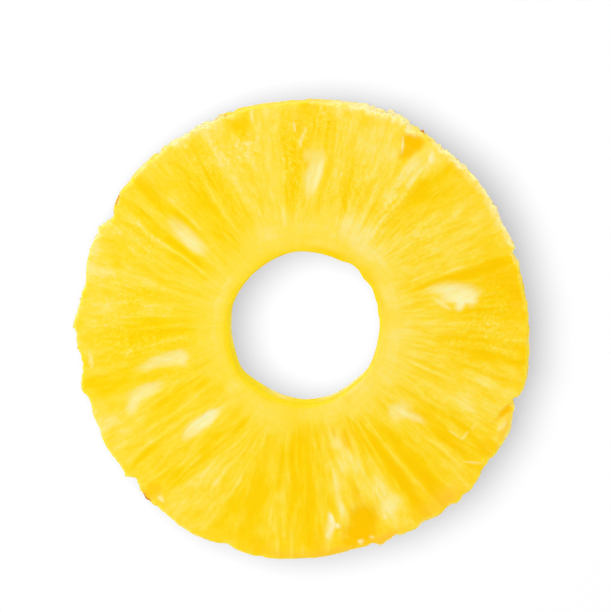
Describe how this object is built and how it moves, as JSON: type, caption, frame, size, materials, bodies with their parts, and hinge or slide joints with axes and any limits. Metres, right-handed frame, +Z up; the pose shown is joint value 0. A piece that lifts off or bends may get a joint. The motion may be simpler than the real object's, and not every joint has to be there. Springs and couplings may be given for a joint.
{
  "type": "pineapple ring",
  "caption": "Round slice of fresh pineapple, peeled and cored: a flat ring of flesh with an uneven knife-cut rim and a round core hole, to eat, cook or garnish with.",
  "frame": {"origin": "centre of the flat base, under the middle of the ring's bounding box", "axes": "+Z up along the core hole, from the flat base to the cut top face; +X and +Y across the slice"},
  "size_m": [0.0926, 0.093, 0.0121],
  "materials": {
    "pineapple_flesh": "moist, slightly translucent bright yellow flesh: radial fibres in wedge-shaped fruitlets, a smooth pale core ring round the hole, ragged white seed cavities, amber pits near the rim and a cream, fibrous cut rim"
  },
  "bodies": {
    "root": {"pineapple_ring": "pineapple_flesh"}
  },
  "joints": []
}
